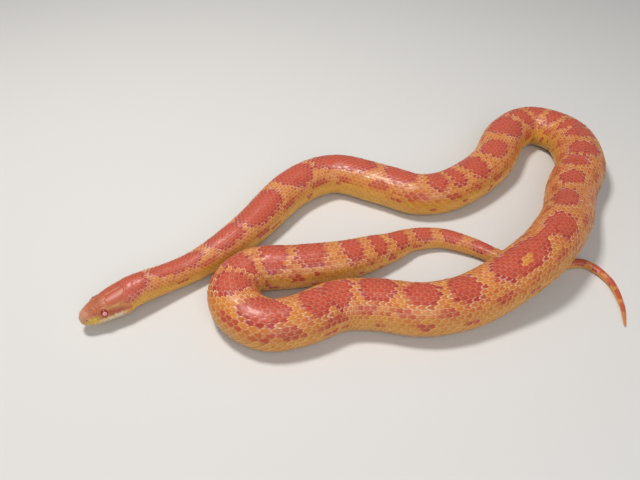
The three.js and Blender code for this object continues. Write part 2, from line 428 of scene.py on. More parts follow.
def flank_marks(s, angle, index, draw):
    """The blotch under one gap between saddles and the fleck under the saddle, on both sides."""
    middle, length, reach = SADDLES[index]
    gap = (middle + SADDLES[index + 1][0]) / 2
    value = np.full(s.shape, FAR)
    for side in (-1, 1):
        size = draw.uniform(*BLOTCH_SHARE) * min(length, BLOTCH_LONGEST)
        tall = draw.uniform(*BLOTCH_TALL)
        blotch = (gap + draw.uniform(*DRIFT), size, side * (reach + draw.uniform(*BLOTCH_BELOW)), tall)
        fleck = (middle + draw.uniform(*DRIFT), size * FLECK_SHARE[0],
                 side * (reach + draw.uniform(*FLECK_BELOW)), tall * FLECK_SHARE[1])
        value = np.minimum(value, patch_value(s, angle, fleck, index + FLECK_SEED))
        same_side = BLOTCHES[BLOTCHES[:, 2] * side > 0]
        if np.abs(same_side[:, 0] - gap).min() > BLOTCH_NEAR:
            value = np.minimum(value, patch_value(s, angle, blotch, index + BLOTCH_SEED))
    return value


def marks(s, angle):
    """How deep in a saddle a place is (0.5 on its edge), how pale its edge is, and how much blotch."""
    s, angle = np.broadcast_arrays(np.asarray(s, float), np.asarray(angle, float))
    saddle = np.full(s.shape, FAR)
    flank = np.full(s.shape, FAR)
    draw = np.random.default_rng(MARK_SEED)
    for i, (middle, length, reach) in enumerate(SADDLES):
        centre = draw.uniform(*LEAN) + read(ROLL, middle)
        saddle = np.minimum(saddle, patch_value(s, angle, (middle, length, centre, reach), i))
        if FLANK_FROM < middle < FLANK_TO:
            flank = np.minimum(flank, flank_marks(s, angle, i, draw))
    for i, patch in enumerate(BLOTCHES):
        flank = np.minimum(flank, patch_value(s, angle, patch, i + SEEN_SEED))
    saddle = np.minimum(saddle, patch_value(s, angle, BRIDGE, BRIDGE_SEED))
    saddle = np.maximum(saddle, 2 - patch_value(s, angle, WINDOW, WINDOW_SEED))
    edge = np.clip(1 - np.abs(saddle - EDGE_MIDDLE) / EDGE_REACH, 0, 1)
    return np.clip(SADDLE_DEPTH - saddle, 0, 1), edge, np.clip((BLOTCH_EDGE - flank) / BLOTCH_FADE, 0, 1)


print("saddles", len(SADDLES))

# %% [markdown]
# ## Mesh helpers
#
# Every piece starts as a shape from a bmesh operator. A tube is a flat grid rolled up until its two
# sides meet under the belly and are merged. Many like pieces are one small mesh, an Array modifier,
# and a rule that says where each copy lies.

# %% Helpers for meshes
UV_NAME = "OFBake"
UV_LANES = 4
UV_LANE_FILL = 0.94
LANE_END = 0.99999
SCALE_ON_UV = 0.003
SAME_PLACE = 1e-6


def lane_uv(s, angle, lane_s=None):
    """The skin unrolled into lanes, each a quarter of its length, one above the other."""
    run = s / LENGTH * UV_LANES
    lane = np.floor(np.clip((s if lane_s is None else lane_s) / LENGTH, 0, LANE_END) * UV_LANES)
    u = 0.5 + UV_LANE_FILL * (run - lane - 0.5)
    v = (lane + 0.5 + UV_LANE_FILL * angle / (2 * math.pi)) / UV_LANES
    return np.stack([u, v], -1)


def write_mesh(bm, name):
    mesh = bpy.data.meshes.new(name)
    bm.to_mesh(mesh)
    bm.free()
    return mesh


def read_numbers(items, key, width=1, kind=float):
    """One property of every item of a mesh, as an array with a row for each item."""
    values = np.zeros(len(items) * width, kind)
    items.foreach_get(key, values)
    return values.reshape(-1, width)


def read_points(mesh):
    return read_numbers(mesh.vertices, "co", 3)


def set_points(mesh, points):
    mesh.vertices.foreach_set("co", np.ascontiguousarray(points, dtype=np.float32).ravel())
    mesh.update()


def set_colour(mesh, name, channels):
    """Keeps up to four numbers on each vertex under one name, for the materials to read."""
    values = np.ones((len(mesh.vertices), 4), np.float32)
    for i, channel in enumerate(channels):
        values[:, i] = channel
    layer = mesh.attributes.new(name, "FLOAT_COLOR", "POINT")
    layer.data.foreach_set("color", values.ravel())


def corner_points(mesh):
    return read_numbers(mesh.loops, "vertex_index", kind=np.int32).ravel()


def set_uv(mesh, per_corner):
    layer = mesh.uv_layers.new(name=UV_NAME)
    layer.data.foreach_set("uv", per_corner.astype(np.float32).ravel())


def smooth(mesh):
    mesh.polygons.foreach_set("use_smooth", [True] * len(mesh.polygons))


def merged(mesh):
    """Merges the points that lie on one another and makes the faces look outwards."""
    bm = bmesh.new()
    bm.from_mesh(mesh)
    bmesh.ops.remove_doubles(bm, verts=bm.verts, dist=SAME_PLACE)
    bmesh.ops.bridge_loops(bm, edges=[edge for edge in bm.edges if edge.is_boundary])
    bmesh.ops.recalc_face_normals(bm, faces=bm.faces)
    bm.to_mesh(mesh)
    bm.free()
    smooth(mesh)


# %% [markdown]
# ## The plates of the head
#
# A corn snake's head wears large smooth plates: nine on the crown, eight along each upper lip, and a
# few round each eye. They could be cut as separate pieces. Real head plates are one sheet, so here
# they are one skin with fine furrows pressed into it, as a sculptor scores wax. Each furrow is a line
# of distances from the snout and degrees from the crest, used on both sides.

# %% Furrows of the head
FURROWS = {
    "snout_line": [(1.5, 0), (8.6, 0)],
    "rostral": [(1.5, 0), (1.35, 25), (1.15, 50), (1.2, 72), (1.5, 88), (1.6, 96)],
    "internasal_back": [(4.2, 0), (4.3, 20), (4.2, 42)],
    "nasal_top": [(1.2, 46), (2.8, 47), (4.2, 42), (6.2, 47), (8.4, 50)],
    "prefrontal_back": [(8.6, 0), (8.4, 14), (8.8, 30), (8.4, 50)],
    "nasal_back": [(4.2, 42), (4.9, 58), (5.0, 80)],
    "loreal_back": [(6.2, 47), (7.7, 60), (7.9, 79)],
    "loreal_top": [(5.0, 66), (6.4, 63), (7.8, 66)],
    "preocular": [(8.4, 50), (9.0, 62), (9.2, 78)],
    "frontal_side": [(8.5, 17), (11.4, 15), (14.6, 13), (16.4, 7), (17.2, 0)],
    "supraocular_in": [(8.6, 17), (9.0, 33), (9.6, 47)],
    "supraocular_out": [(9.6, 47), (12.6, 45), (15.6, 47)],
    "supraocular_back": [(14.8, 12), (15.4, 28), (15.6, 47)],
    "parietal_line": [(17.2, 0), (26.8, 0)],
    "parietal_side": [(15.6, 47), (19.6, 44), (23.6, 38), (26.2, 22), (27.3, 8), (26.8, 0)],
    "postocular": [(15.3, 47), (15.8, 61), (15.4, 70)],
    "postocular_back": [(15.6, 47), (17.2, 56), (17.5, 66), (17.2, 76)],
    "temporal_1": [(17.5, 62), (21.4, 60), (22.0, 74)],
    "temporal_2": [(23.6, 38), (22.4, 50), (21.4, 60)],
    "temporal_3": [(21.4, 60), (24.2, 55), (25.2, 64), (26.0, 76)],
    "temporal_4": [(21.9, 67), (25.0, 66)],
    "upper_lip_top": [(1.4, 82), (2.9, 80), (5.0, 80), (7.9, 79), (9.4, 78), (11.0, 80), (14.4, 80),
                      (15.6, 76), (17.2, 76), (22.0, 74), (26.0, 76)],
    "lower_lip_low": [(0.9, 112), (4.2, 114), (9, 116), (15, 118), (21, 117), (25.4, 112)],
    "chin_line": [(2.6, 180), (17.5, 180)],
    "mental": [(1.0, 104), (1.6, 130), (2.6, 160), (2.6, 180)],
    "chin_side": [(4.2, 114), (7.0, 132), (9.5, 146), (10.6, 164), (10.4, 180)],
    "chin_back": [(9.5, 146), (13.0, 147), (15.5, 152), (17.5, 168), (17.5, 180)],
    "gular": [(7.0, 132), (12.0, 132), (17.0, 134), (21.0, 130)],
}
UPPER_LIP_SPLITS = (3.1, 5.0, 7.2, 9.8, 12.8, 16.6, 21.2)
LOWER_LIP_SPLITS = (1.9, 4.0, 6.4, 9.0, 11.8, 14.9, 18.2, 21.6)
MOUTH_ANGLE = 97
MOUTH_LINE = [(0.02, MOUTH_ANGLE), (24.5, MOUTH_ANGLE), (25.7, 101)]
LIP_TOP = 79
LIP_LOW = 115
UPPER_LEAN = 0.35
LOWER_LEAN = 0.6
SAMPLE_STEP = 0.12
MM_PER_DEGREE = 0.16
FURROW_DEPTH = 0.17
FURROW_WIDTH = 0.13
MOUTH_DEPTH = 0.5
MOUTH_WIDTH = 0.2
PLATE_CROWN = 0.12
PLATE_EDGE = 0.6


def lip_furrows():
    """The short furrows that part one lip plate from the next, leaning back a little."""
    upper = [[(d, LIP_TOP), (d + UPPER_LEAN, MOUTH_ANGLE)] for d in UPPER_LIP_SPLITS]
    return upper + [[(d, MOUTH_ANGLE), (d + LOWER_LEAN, LIP_LOW)] for d in LOWER_LIP_SPLITS]


def sampled(lines):
    """Points in mm along the given lines and their mirror images."""
    points = []
    for stops in lines:
        for (d0, a0), (d1, a1) in zip(stops, stops[1:]):
            count = max(2, int(math.hypot(d1 - d0, (a1 - a0) * MM_PER_DEGREE) / SAMPLE_STEP))
            t = np.linspace(0, 1, count)
            for side in (-1, 1):
                angle = side * np.radians(a0 + (a1 - a0) * t)
                points.append(skin_point(d0 + (d1 - d0) * t, angle))
    return np.vstack(points)


def tree_of(points):
    tree = KDTree(len(points))
    for i, point in enumerate(points):
        tree.insert(point, i)
    tree.balance()
    return tree


def distances(tree, points):
    return np.array([tree.find(point)[2] for point in points])


furrow_tree = tree_of(sampled(list(FURROWS.values()) + lip_furrows()))
mouth_tree = tree_of(sampled([MOUTH_LINE]))
print("furrows", 2 * (len(FURROWS) + len(lip_furrows())))

# %% [markdown]
# ## The skin
#
# The skin shows between the scales where the body bends, and on the head it is all that shows. One
# rolled grid runs from snout to tail tip, with many short rows on the head for its plates and long
# ones behind it. The eye sits in a shallow hollow, and the nostril is a small pit.

# %% Skin
HEAD_ROWS = 170
HEAD_COLUMNS = 240
BODY_ROWS = 520
BODY_COLUMNS = 64
SKIN_HEAD_END = 38.0
SKIN_STEP = 0.6
# How far apart flat shapes lie before they are placed
BESIDE = 2
SEAM = 1e-3
EYE_RADIUS = 2.3
EYE_BACK = 12.4
EYE_HEIGHT = 12.1
EYE_SPREAD = 6.45
NOSTRIL_BACK = 2.4
NOSTRIL_ANGLE = math.radians(64)
NOSTRIL_DEPTH = 0.6
NOSTRIL_SIZE = 0.48
SOCKET_DEPTH = 1.3
SOCKET_WALL = (-0.35, 0.5)
# Raised rings and ridges: distance away, width and height
EYE_RING = (0.4, 0.4, 0.3)
NOSTRIL_RIM = (0.8, 0.3, 0.1)
LIP_RIDGE = (0.8, 0.5, 0.16)
PLATE_FADE = 1.5
SUTURE_WIDTH = 0.2
MOUTH_SHADE = 0.26
MOUTH_AT_SNOUT = 0.25
MOUTH_FULL_AT = 3
RELIEF_FROM = 0.03
RELIEF_TO = 30
SNOUT_FACING = 0.25
HEAD_CROWDING = 0.3
HEAD_SPREAD = 1.15


def eye_spot(side):
    """The middle of an eye in mm. Side is 1 or -1."""
    spot, way = place(np.array(EYE_BACK))
    across = side * EYE_SPREAD
    return np.array([spot[0] + way[1] * across, spot[1] - way[0] * across, EYE_HEIGHT])


def hill(distance, size):
    """1 at distance 0, fading out over the size."""
    return np.exp(-((distance / size) ** 2))


def ridge(distance, away, width, height):
    return height * hill(distance - away, width)


def eye_relief(points, side):
    """The hollow for the eye and the ring of small plates that stands up round it."""
    away = np.linalg.norm(points - eye_spot(side), axis=1) - EYE_RADIUS
    return ridge(away, *EYE_RING) - SOCKET_DEPTH * (1 - after(away, *SOCKET_WALL))


def head_relief(points, s, angle):
    """How far each point of the head moves out, in mm, how near it is to a furrow, and its painted shade.
    """
    plates = 1 - after(s, coat_start(angle), PLATE_FADE)
    furrow, mouth = distances(furrow_tree, points), distances(mouth_tree, points)
    out = PLATE_CROWN * (1 - np.exp(-furrow / PLATE_EDGE)) - FURROW_DEPTH * hill(furrow, FURROW_WIDTH)
    out += ridge(mouth, *LIP_RIDGE)
    # Painted shade: darker in the slit of the mouth and in the nostril pits
    painted_shade = hill(mouth, MOUTH_SHADE)
    for side in (-1, 1):
        away = np.linalg.norm(points - skin_point(NOSTRIL_BACK, side * NOSTRIL_ANGLE), axis=1)
        nostril = hill(away, NOSTRIL_SIZE)
        out += eye_relief(points, side) + (ridge(away, *NOSTRIL_RIM) - NOSTRIL_DEPTH * nostril)
        painted_shade = np.maximum(painted_shade, nostril)
    opening = MOUTH_AT_SNOUT + (1 - MOUTH_AT_SNOUT) * ease(s / MOUTH_FULL_AT)
    out = out * plates - MOUTH_DEPTH * hill(mouth, MOUTH_WIDTH) * opening
    return out, hill(furrow, SUTURE_WIDTH) * plates, painted_shade, plates


def skin_grid():
    """Two flat grids side by side, a fine one for the head and a plain one for the body."""
    bm = bmesh.new()
    bmesh.ops.create_grid(bm, x_segments=HEAD_ROWS, y_segments=HEAD_COLUMNS, size=0.5)
    beside = Matrix.Translation((BESIDE, 0, 0))
    bmesh.ops.create_grid(bm, x_segments=BODY_ROWS, y_segments=BODY_COLUMNS, size=0.5, matrix=beside)
    mesh = write_mesh(bm, "skin")
    flat = read_points(mesh)
    on_head = flat[:, 0] < BESIDE / 2
    along = np.where(on_head, flat[:, 0], flat[:, 0] - BESIDE) + 0.5
    crowded = HEAD_CROWDING * along**2 + (1 - HEAD_CROWDING) * along**HEAD_SPREAD
    body_s = SKIN_HEAD_END + SKIN_STEP + (LENGTH - SKIN_HEAD_END - SKIN_STEP) * along
    return mesh, np.where(on_head, SKIN_HEAD_END * crowded, body_s), 2 * math.pi * flat[:, 1]


def unrolled(mesh, s, angle):
    """A place on the lanes for each corner of each face, with no face torn across two of them."""
    corners = corner_points(mesh)
    sides = np.array([len(face.vertices) for face in mesh.polygons])
    face = np.repeat(np.arange(len(sides)), sides)
    on_seam = np.abs(angle[corners]) > math.pi - SEAM
    side = np.sign(np.bincount(face, np.where(on_seam, 0, angle[corners])))[face]
    corner_angle = np.where(on_seam, side * math.pi, angle[corners])
    middle_s = (np.bincount(face, s[corners]) / sides)[face]
    return lane_uv(s[corners], corner_angle, middle_s)


# Soft steps of the face's colours, as a start and a fade: UP and DOWN in degrees from the crest,
# BACK in mm from the snout. Bands follow a middle that is read from a list of mm and degrees.
LIP_DOWN = (77, 12)
LIP_BACK = (24, 4)
LIP_RIPPLES = ((1.6, 1.7, 0), (1.2, 3.1, 1))
LORE_DOWN = (52, 16)
LORE_UP = (95, 14)
LORE_SPOT = (5.5, 4)
TEMPLE_BAND = [(12, 47), (22, 56), (30, 68)]
TEMPLE_REACH = 14
TEMPLE_SPOT = (20, 12)
TEMPLE_SHARE = 0.4
SNOUT_BACK = (1.5, 6)
SNOUT_DOWN = (60, 30)
STRIPE_BAND = [(9, 62), (15, 69), (25, 78), (31, 86)]
STRIPE_REACH = 11
STRIPE_FROM = (13, 3)
STRIPE_TO = (26, 6)
CHEEK_BACK = (20, 6)
CHEEK_DOWN = (45, 15)


def face_masks(s, angle):
    """Where the face is pale: the lips, the yellow before the eye and behind it, and the snout."""
    degrees = np.degrees(np.abs(angle))
    ripple = sum(high * np.sin(s * rate + turn) for high, rate, turn in LIP_RIPPLES)
    lip = after(degrees - ripple, *LIP_DOWN) * (1 - after(s, *LIP_BACK))
    lore = after(degrees, *LORE_DOWN) * (1 - after(degrees, *LORE_UP)) * ridge(s, *LORE_SPOT, 1)
    temple = bump(degrees, read(TEMPLE_BAND, s), TEMPLE_REACH) * bump(s, *TEMPLE_SPOT)
    snout = (1 - after(s, *SNOUT_BACK)) * (1 - after(degrees, *SNOUT_DOWN))
    return lip, np.maximum(lore, TEMPLE_SHARE * temple), snout


def eye_stripe(s, angle):
    """The red stripe that runs back from the eye to the corner of the mouth."""
    ends = after(s, *STRIPE_FROM) * (1 - after(s, *STRIPE_TO))
    return bump(np.degrees(np.abs(angle)), read(STRIPE_BAND, s), STRIPE_REACH) * ends


def head_share(s, angle):
    """How far the head's own colours go: on the cheek they give way to the neck's."""
    return 1 - after(s, *CHEEK_BACK) * after(np.degrees(np.abs(angle)), *CHEEK_DOWN)


def add_skin():
    mesh, s, angle = skin_grid()
    points = skin_point(s, angle)
    near = (s > RELIEF_FROM) & (s < RELIEF_TO)
    out, furrow, mouth, plates = np.zeros((4, len(s)))
    out[near], furrow[near], mouth[near], plates[near] = head_relief(points[near], s[near], angle[near])
    points += skin_normal(np.maximum(s, SNOUT_FACING), angle) * out[:, None]
    set_points(mesh, points * MM)
    saddle, edge, blotch = marks(s, angle)
    set_colour(mesh, "marks", (saddle, edge, np.maximum(blotch, eye_stripe(s, angle))))
    set_colour(mesh, "spot", (np.abs(angle) / math.pi, 0.0, 0.5, read(YELLOW, s)))
    set_colour(mesh, "face", face_masks(s, angle))
    # The second of the lines is the painted shade of the mouth's slit and the nostrils
    set_colour(mesh, "lines", (furrow, mouth, plates * head_share(s, angle)))
    set_colour(mesh, "where", (s, angle))
    merged(mesh)
    where = read_numbers(mesh.attributes["where"].data, "color", 4, np.float32)
    set_uv(mesh, unrolled(mesh, where[:, 0], where[:, 1]))
    mesh.attributes.remove(mesh.attributes["where"])
    return new_object("skin", mesh)


skin = add_skin()
print("skin triangles", sum(len(face.vertices) - 2 for face in skin.data.polygons))

# %% [markdown]
# ## One scale
#
# A back scale is leaf shaped and almost smooth, and its tip lies over the root of the next. One leaf
# is made from a circle: its face is inset and poked to dome it, and its rim is drawn down to close
# it. x runs towards the tail from -0.5 to 0.5, y across, and z is in parts of the coat's depth.

# %% Scale shape
LEAF_SIDES = 14
LEAF_INSET = 0.13
LEAF_NARROWING = 0.3
LEAF_POINT = 0.6
ROOT_LEVEL = -0.3
TIP_LEVEL = 0.72
LEAF_DOME = 0.36
LEAF_THICKNESS = 0.42
LEAF_SHOULDER = 0.75
KEEL = 0.08
KEEL_BREADTH = 0.25


def leaf_mesh():
    bm = bmesh.new()
    bmesh.ops.create_circle(bm, cap_ends=True, segments=LEAF_SIDES, radius=0.5)
    for vert in bm.verts:
        turn = math.atan2(vert.co.x, vert.co.y)
        sharpened = abs(math.sin(turn)) ** (1 + LEAF_POINT * max(0, math.cos(turn)))
        across = math.copysign(sharpened, turn) * (1 - LEAF_NARROWING * math.cos(turn))
        vert.co = (0.5 * math.cos(turn), 0.5 * across, 0)
    rim = list(bm.verts)
    bmesh.ops.inset_region(bm, faces=bm.faces[:], thickness=LEAF_INSET)
    inner = [v for v in bm.verts if v not in rim]
    centre = bmesh.ops.poke(bm, faces=[f for f in bm.faces if len(f.verts) == LEAF_SIDES])["verts"]
    border = [e for e in bm.edges if e.is_boundary]
    drawn = bmesh.ops.extrude_edge_only(bm, edges=border)["geom"]
    under = [g for g in drawn if isinstance(g, bmesh.types.BMVert)]
    for vert in bm.verts:
        vert.co.z = ROOT_LEVEL + (TIP_LEVEL - ROOT_LEVEL) * (vert.co.x + 0.5)
    for vert in inner:
        on_keel = 1 - min(1, abs(vert.co.y) / KEEL_BREADTH)
        vert.co.z += LEAF_DOME * LEAF_SHOULDER + KEEL * on_keel
    for vert in centre:
        vert.co.z += LEAF_DOME + KEEL
    for vert in under:
        vert.co.z -= LEAF_THICKNESS
    bmesh.ops.contextual_create(bm, geom=[e for e in bm.edges if e.is_boundary])
    bmesh.ops.recalc_face_normals(bm, faces=bm.faces)
    for edge in bm.edges:
        edge.smooth = not all(v in rim for v in edge.verts)
    mesh = write_mesh(bm, "leaf")
    smooth(mesh)
    return mesh


leaf = leaf_mesh()
print("scale triangles", sum(len(p.vertices) - 2 for p in leaf.polygons))

# %% [markdown]
# ## Laying the coat
#
# The scales lie in lengthwise rows, each half a scale ahead of the next, which makes the diamonds.
# Midbody has 29 rows. The counts fall towards the neck and the tail, and the outer rows run out under
# the scutes. On the inside of a bend scales are pushed over one another, and on the outside they draw
# apart and the skin shows.

# %% Rows, spacing and where each scale lies
ROW_COUNTS = [
    (24, 21), (60, 25), (150, 29), (620, 29), (760, 25), (925, 21), (950, 17), (985, 14),
    (1030, 11), (1080, 8), (1120, 6), (1138, 5),
]
SCALE_SPACING = [
    (20, 1.9), (45, 2.4), (90, 3.0), (150, 3.6), (300, 4.0), (700, 4.0), (900, 3.7), (935, 3.4),
    (1000, 2.9), (1060, 2.3), (1110, 1.8), (1138, 1.5),
]
SCUTE_SHARE = 0.27
SCUTES_START = (22, 14)
COAT_FROM = 16
FINE_STEP = 0.5
OUTER_ROW = 15
ROW_MARGIN = 0.6
BARE_TIP = 1.2
FIRST_SCALES = 0.3
FIRST_DEPTH = 0.35
FIRST_SUNK = 0.3
FIRST_FADE = 0.8
SCALE_OVERLAP = 1.6
SCALE_BREADTH = 1.36
SCALE_SPREAD = 0.035
SCALE_TILT = 0.035
LEAST_STRETCH = 0.25
PUSHED = 0.5
DRAWN = 1.12
# The pale rim of each scale is partly the scale's own pale edge and partly a painted glint.
# A scale's pale rim: how it follows the scale's outline, and where it starts and fades in
RIM_BREADTH = 1.1
RIM_POWER = 3
RIM_FADE = (-0.35, 0.4)
EDGE_SHARE = (0.15, 1)
EDGE_POWER = 1.4
COAT_SEED = 11

fine_s = np.arange(COAT_FROM, LENGTH, FINE_STEP)
scale_number = np.append(0, np.cumsum(FINE_STEP / read(SCALE_SPACING, fine_s[:-1])))
SCALE_ROWS_ALONG = int(scale_number[-1])
print("scales along one row", SCALE_ROWS_ALONG)


def scute_share(s):
    """The share of the half girth that the belly scutes take. On the throat they are only starting."""
    return SCUTE_SHARE * after(s, *SCUTES_START)


def stretch_at(s, angle):
    """How much longer the skin is there than along the middle of the body."""
    step = skin_point(s + 0.5, angle) - skin_point(s - 0.5, angle)
    return np.linalg.norm(step, axis=-1)


def scale_places():
    """Middle of each scale along and round the body, with its row."""
    found = []
    for row in range(-OUTER_ROW, OUTER_ROW + 1):
        number = np.arange(SCALE_ROWS_ALONG) + 0.5 * (row % 2)
        s = np.interp(number, scale_number, fine_s)
        rows = read(ROW_COUNTS, s)
        share = row * 2 * (1 - scute_share(s)) / rows
        last = (rows - 1) / 2 + ROW_MARGIN
        keep = (np.abs(row) <= last) & (np.abs(share) < 1) & (s < LENGTH - BARE_TIP)
        keep &= s > coat_start(angle_at(s, share)) + FIRST_SCALES
        found.append(np.stack([s[keep], share[keep], np.full(keep.sum(), row)], -1))
    places = np.vstack(found)
    return places[np.argsort(places[:, 0], kind="stable")]


scale_rows = scale_places()
print("scales", len(scale_rows))

# %% [markdown]
# Each corner of each copy is placed along and round the body and then lifted off it, so the leaf
# bends with the skin. Sizes vary a little, from a seeded draw, because no two scales are alike.


# %% Lay copies of a small shape on the body
def copies(template, count):
    """One mesh that holds count copies of the template, made by an Array modifier."""
    obj = new_object("copies", template)
    array = obj.modifiers.new("array", "ARRAY")
    array.count = count
    array.use_relative_offset = False
    array.use_constant_offset = True
    array.constant_offset_displace = (BESIDE, 0, 0)
    evaluated = obj.evaluated_get(bpy.context.evaluated_depsgraph_get())
    mesh = bpy.data.meshes.new_from_object(evaluated)
    bpy.data.objects.remove(obj)
    return mesh


def lay(name, template, middles, put):
    """Lays one copy at each middle. put turns copy corners into (s, angle, mm off the skin)."""
    corners = read_points(template)
    mesh = copies(template, len(middles))
    mesh.name = name
    local = np.broadcast_to(corners, (len(middles),) + corners.shape)
    s, angle, out = put(local, middles[:, None])
    points = skin_point(s, angle) + skin_normal(s, angle) * out[..., None]
    set_points(mesh, points.reshape(-1, 3) * MM)
    root = lane_uv(middles[:, 0], angle.mean(axis=1))[:, None]
    uv = (root + local[..., :2] * SCALE_ON_UV).reshape(-1, 2)
    set_uv(mesh, uv[corner_points(mesh)])
    return mesh


def lay_scales(name, middles, seed):
    draw = np.random.default_rng(seed)
    size = draw.normal(1, SCALE_SPREAD, len(middles))[:, None]
    tone = draw.uniform(0, 1, len(middles))[:, None]
    tilt = draw.normal(0, SCALE_TILT, (2, len(middles), 1))

    def put(local, middle):
        s0, share0 = middle[..., 0], middle[..., 1]
        spacing = read(SCALE_SPACING, s0)
        pitch = half_girth(s0) * 2 * (1 - scute_share(s0)) / read(ROW_COUNTS, s0)
        angle0 = angle_at(s0, share0)
        stretch = np.maximum(stretch_at(s0, angle0), LEAST_STRETCH)
        length = spacing * SCALE_OVERLAP * np.clip(stretch, PUSHED, DRAWN) / stretch * size
        breadth = pitch * SCALE_BREADTH * size
        s = s0 + local[..., 0] * length
        share = share0 - local[..., 1] * breadth / half_girth(s0)
        depth = np.maximum(sunk(s0, angle0), FIRST_DEPTH * coat_depth(s0))
        angle = angle_at(s, share)
        under_plates = 1 - after(s, coat_start(angle), FIRST_FADE)
        tilted = tilt[0] * local[..., 0] * length + tilt[1] * local[..., 1] * breadth
        tilted = tilted * depth / COAT_DEPTH
        return s, angle, local[..., 2] * depth + tilted - FIRST_SUNK * under_plates

    mesh = lay(name, leaf, middles, put)
    corners = 2 * read_points(leaf)
    s0 = middles[:, 0]
    angle0 = angle_at(s0, middles[:, 1])
    saddle, edge, blotch = marks(s0, angle0)
    # Each scale grows paler towards its outline: its own pale edge, with a painted glint on it.
    rim = np.clip(np.hypot(corners[:, 0], corners[:, 1] * RIM_BREADTH), 0, 1) ** RIM_POWER
    rim *= after(corners[:, 0] / 2, *RIM_FADE)
    edge = edge * draw.uniform(*EDGE_SHARE, len(edge)) ** EDGE_POWER
    whole = (saddle, edge, blotch, np.abs(angle0) / math.pi, tone[:, 0], read(YELLOW, s0))
    saddle, edge, blotch, turn, tone, yellow = [np.repeat(v, len(corners)) for v in whole]
    set_colour(mesh, "marks", (saddle, edge, blotch))
    set_colour(mesh, "spot", (turn, np.tile(rim, len(middles)), tone, yellow))
    return new_object(name, mesh)


# Where each length of coat ends
COAT_ENDS = {"coat_neck": 150, "coat_front": 380, "coat_middle": 620, "coat_back": 860, "coat_tail": 2000}


def add_coat():
    pieces, start = [], 0
    for i, (name, end) in enumerate(COAT_ENDS.items()):
        chosen = (scale_rows[:, 0] >= start) & (scale_rows[:, 0] < end)
        pieces.append(lay_scales(name, scale_rows[chosen], COAT_SEED + i))
        start = end
        print(name, "scales", int(chosen.sum()))
    return pieces


coat = add_coat()

# %% [markdown]
# ## Belly scutes
#
# Under the body lies one wide plate for each step of the rows, and under the tail two side by side.
# Each is a grid that an extrude gives thickness, laid by the same rule as the scales, but measured
# from the middle of the belly.

# %% Belly scutes
SCUTE_OVERLAP = 1.35
SCUTE_BULGE = 0.16
SCUTE_HEIGHT = 0.8
SCUTE_TUCK = 0.012
THROAT = 27
VENT = 932.0
TAIL_END = LENGTH - 3
TAIL_SPLIT = 0.02


def scute_mesh():
    bm = bmesh.new()
    bmesh.ops.create_grid(bm, x_segments=3, y_segments=12, size=0.5)
    for vert in bm.verts:
        edge = 2 * abs(vert.co.y)
        vert.co.x += SCUTE_BULGE * (1 - edge**3) * (vert.co.x + 0.5)
        vert.co.z = ROOT_LEVEL + (TIP_LEVEL - ROOT_LEVEL) * (vert.co.x + 0.5) * SCUTE_HEIGHT
    walls = bmesh.ops.extrude_face_region(bm, geom=bm.faces[:])["geom"]
    for vert in [g for g in walls if isinstance(g, bmesh.types.BMVert)]:
        vert.co.z -= LEAF_THICKNESS * SCUTE_HEIGHT
    bmesh.ops.recalc_face_normals(bm, faces=bm.faces)
    return write_mesh(bm, "scute")


def lay_scutes(name, middles, from_share, to_share):
    """Lays plates across the belly between two shares of the scutes' own width, -1 to 1."""

    def put(local, middle):
        s0 = middle[..., 0]
        spacing = read(SCALE_SPACING, s0)
        s = s0 + local[..., 0] * spacing * SCUTE_OVERLAP
        across = from_share + (local[..., 1] + 0.5) * (to_share - from_share)
        share = 1 - np.abs(across) * (scute_share(s0) + SCUTE_TUCK)
        angle = angle_at(s, share) * np.where(across < 0, -1, 1)
        return s, angle, local[..., 2] * coat_depth(s0) * SCUTE_HEIGHT

    return new_object(name, lay(name, scute_mesh(), middles, put))


scute_s = np.interp(np.arange(SCALE_ROWS_ALONG), scale_number, fine_s)
belly_rows = scute_s[(scute_s > THROAT) & (scute_s < VENT)][:, None]
tail_rows = scute_s[(scute_s > VENT) & (scute_s < TAIL_END)][:, None]
belly = lay_scutes("belly_scutes", belly_rows, -1, 1)
under_tail = [
    lay_scutes("tail_scutes_left", tail_rows, TAIL_SPLIT, 1),
    lay_scutes("tail_scutes_right", tail_rows, -1, -TAIL_SPLIT),
]
print("belly scutes", len(belly_rows), "pairs under the tail", len(tail_rows))

# %% [markdown]
# ## Eyes
#
# A snake has no eyelids: one clear scale covers the eye, so it looks wet. Each eye is a ball in its
# hollow, turned to look out and a little forward. The distance from the pole of the ball is kept on
# the mesh, and the material paints the pupil and the iris by it.

# %% Eyes
EYE_SEGMENTS = 48
EYE_FORWARD = 0.2
EYE_UP = 0.3


def add_eye(name, side):
    bm = bmesh.new()
    rings = EYE_SEGMENTS // 2
    bmesh.ops.create_uvsphere(bm, u_segments=EYE_SEGMENTS, v_segments=rings, radius=EYE_RADIUS)
    mesh = write_mesh(bm, name)
    points = read_points(mesh)
    from_pole = np.arccos(np.clip(points[:, 2] / EYE_RADIUS, -1, 1)) / (math.pi / 2)
    _, way = place(np.array(EYE_BACK))
    gaze = Vector((way[1] * side - way[0] * EYE_FORWARD, -way[0] * side - way[1] * EYE_FORWARD, EYE_UP))
    turn = np.array(gaze.to_track_quat("Z", "Y").to_matrix())
    set_points(mesh, (points @ turn.T + eye_spot(side)) * MM)
    set_colour(mesh, "gaze", (from_pole,))
    smooth(mesh)
    return new_object(name, mesh)


eyes = {"eye_left": add_eye("eyeball_left", 1), "eye_right": add_eye("eyeball_right", -1)}

# %% [markdown]
# ## Materials
#
# The meshes keep the markings as numbers, and the colours live here. Skin and scales share one node
# group, so that a saddle has the same red on both, and each material adds its own gloss.


# %% Helpers for materials
def srgb(red, green, blue):
    """A colour as seen on a screen, 0 to 255, turned into the linear numbers that shaders use."""
    def linear(value):
        value /= 255
        return value / 12.92 if value <= 0.04045 else ((value + 0.055) / 1.055) ** 2.4
    return (linear(red), linear(green), linear(blue), 1)


